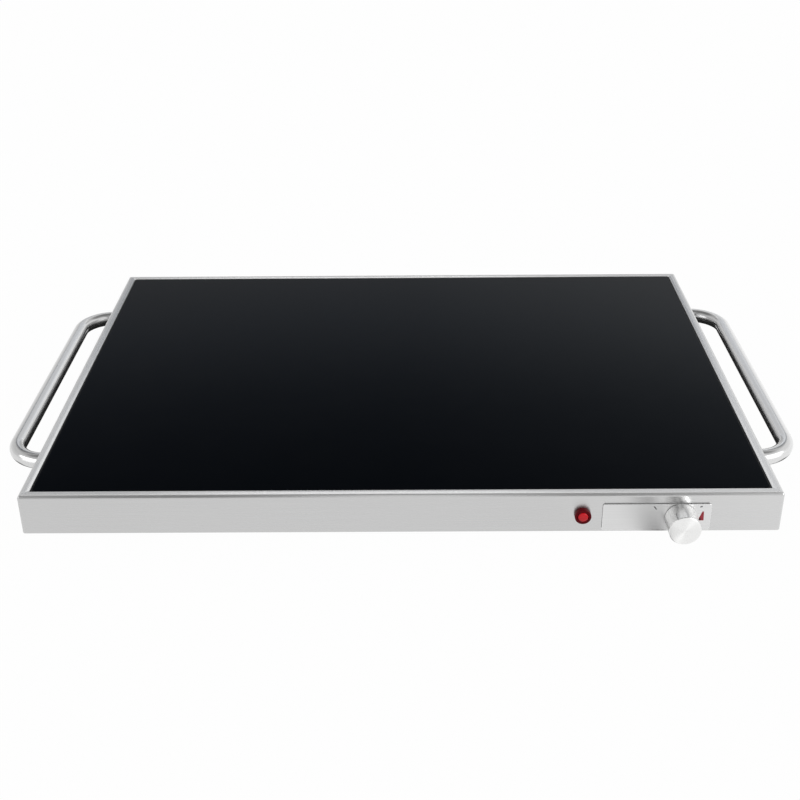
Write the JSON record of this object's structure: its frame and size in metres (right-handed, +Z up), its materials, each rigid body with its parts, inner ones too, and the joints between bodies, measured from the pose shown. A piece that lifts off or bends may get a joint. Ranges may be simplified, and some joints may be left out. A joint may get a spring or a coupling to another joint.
{
  "type": "electric food warmer tray",
  "caption": "Slim rectangular warming tray: black glass plate in a folded steel frame, side handles, thermostat knob and pilot lamp at the front.",
  "frame": {"origin": "centre of the bounding box on the surface that the feet stand on", "axes": "+X to the right along the long side, +Y to the back, +Z up out of the glass"},
  "size_m": [0.676, 0.4812, 0.045],
  "materials": {
    "brushed_steel": "brushed along the long side",
    "satin_steel": "satin",
    "spun_aluminium": "spun, satin",
    "black_glass": "gloss, with a very fine printed dot grid",
    "gasket_rubber": "matt",
    "foot_rubber": "matt",
    "galvanised_steel": "galvanised sheet",
    "zinc_steel": "zinc plated",
    "aluminium_sheet": "mill finish",
    "mica_element": "matt",
    "mineral_wool": "fibrous",
    "white_ceramic": "matt",
    "dark_phenolic": "moulded",
    "black_plastic": "moulded",
    "dark_red_plastic": "gloss",
    "red_lens": "gloss, translucent",
    "brass": "turned",
    "copper": "drawn copper",
    "brown_wire": "silicone insulation",
    "blue_wire": "silicone insulation",
    "green_wire": "silicone insulation"
  },
  "bodies": {
    "tray": {"top_frame": "brushed_steel", "glass_top": "black_glass", "glass_seal": "gasket_rubber", "heat_spreader": "aluminium_sheet", "heating_element": "mica_element", "insulation_blanket": "mineral_wool", "heat_shield_tray": "galvanised_steel", "shield_screw_1": "zinc_steel", "shield_screw_2": "zinc_steel", "shield_screw_3": "zinc_steel", "shield_screw_4": "zinc_steel", "lead_grommet": "gasket_rubber", "base_plate": "galvanised_steel", "base_screw_1": "zinc_steel", "base_screw_2": "zinc_steel", "base_screw_3": "zinc_steel", "base_screw_4": "zinc_steel", "base_screw_5": "zinc_steel", "base_screw_6": "zinc_steel", "foot_front_left": "foot_rubber", "foot_front_right": "foot_rubber", "foot_back_left": "foot_rubber", "foot_back_right": "foot_rubber", "foot_screw_front_left": "zinc_steel", "foot_screw_front_right": "zinc_steel", "foot_screw_back_left": "zinc_steel", "foot_screw_back_right": "zinc_steel", "left_handle": "satin_steel", "right_handle": "satin_steel", "left_handle_bolt_front": "zinc_steel", "left_handle_bolt_back": "zinc_steel", "right_handle_bolt_front": "zinc_steel", "right_handle_bolt_back": "zinc_steel", "control_plate": "brushed_steel", "thermostat_body": "white_ceramic", "thermostat_nut": "zinc_steel", "sensing_bulb": "copper", "bulb_clip": "galvanised_steel", "capillary_tube": "copper", "thermal_cutout": "dark_phenolic", "pilot_lamp_bezel": "dark_red_plastic", "pilot_lamp_lens": "red_lens", "pilot_lamp_nut": "black_plastic", "pilot_lamp_holder": "black_plastic", "cord_gland": "black_plastic", "gland_nut": "black_plastic", "terminal_block": "white_ceramic", "earth_stud": "zinc_steel", "live_wire": "brown_wire", "cutout_wire": "brown_wire", "element_live_wire": "brown_wire", "element_neutral_wire": "blue_wire", "lamp_live_wire": "brown_wire", "lamp_neutral_wire": "blue_wire", "earth_wire": "green_wire"},
    "knob": {"control_knob": "spun_aluminium", "knob_grub_screw": "zinc_steel", "thermostat_spindle": "brass"}
  },
  "joints": [
    {"name": "thermostat_turn", "type": "hinge", "parent": "tray", "child": "knob", "pos_m": [0.22, -0.21965, 0.02405], "axis": [0, 1, 0], "range_deg": [0, 270]}
  ]
}
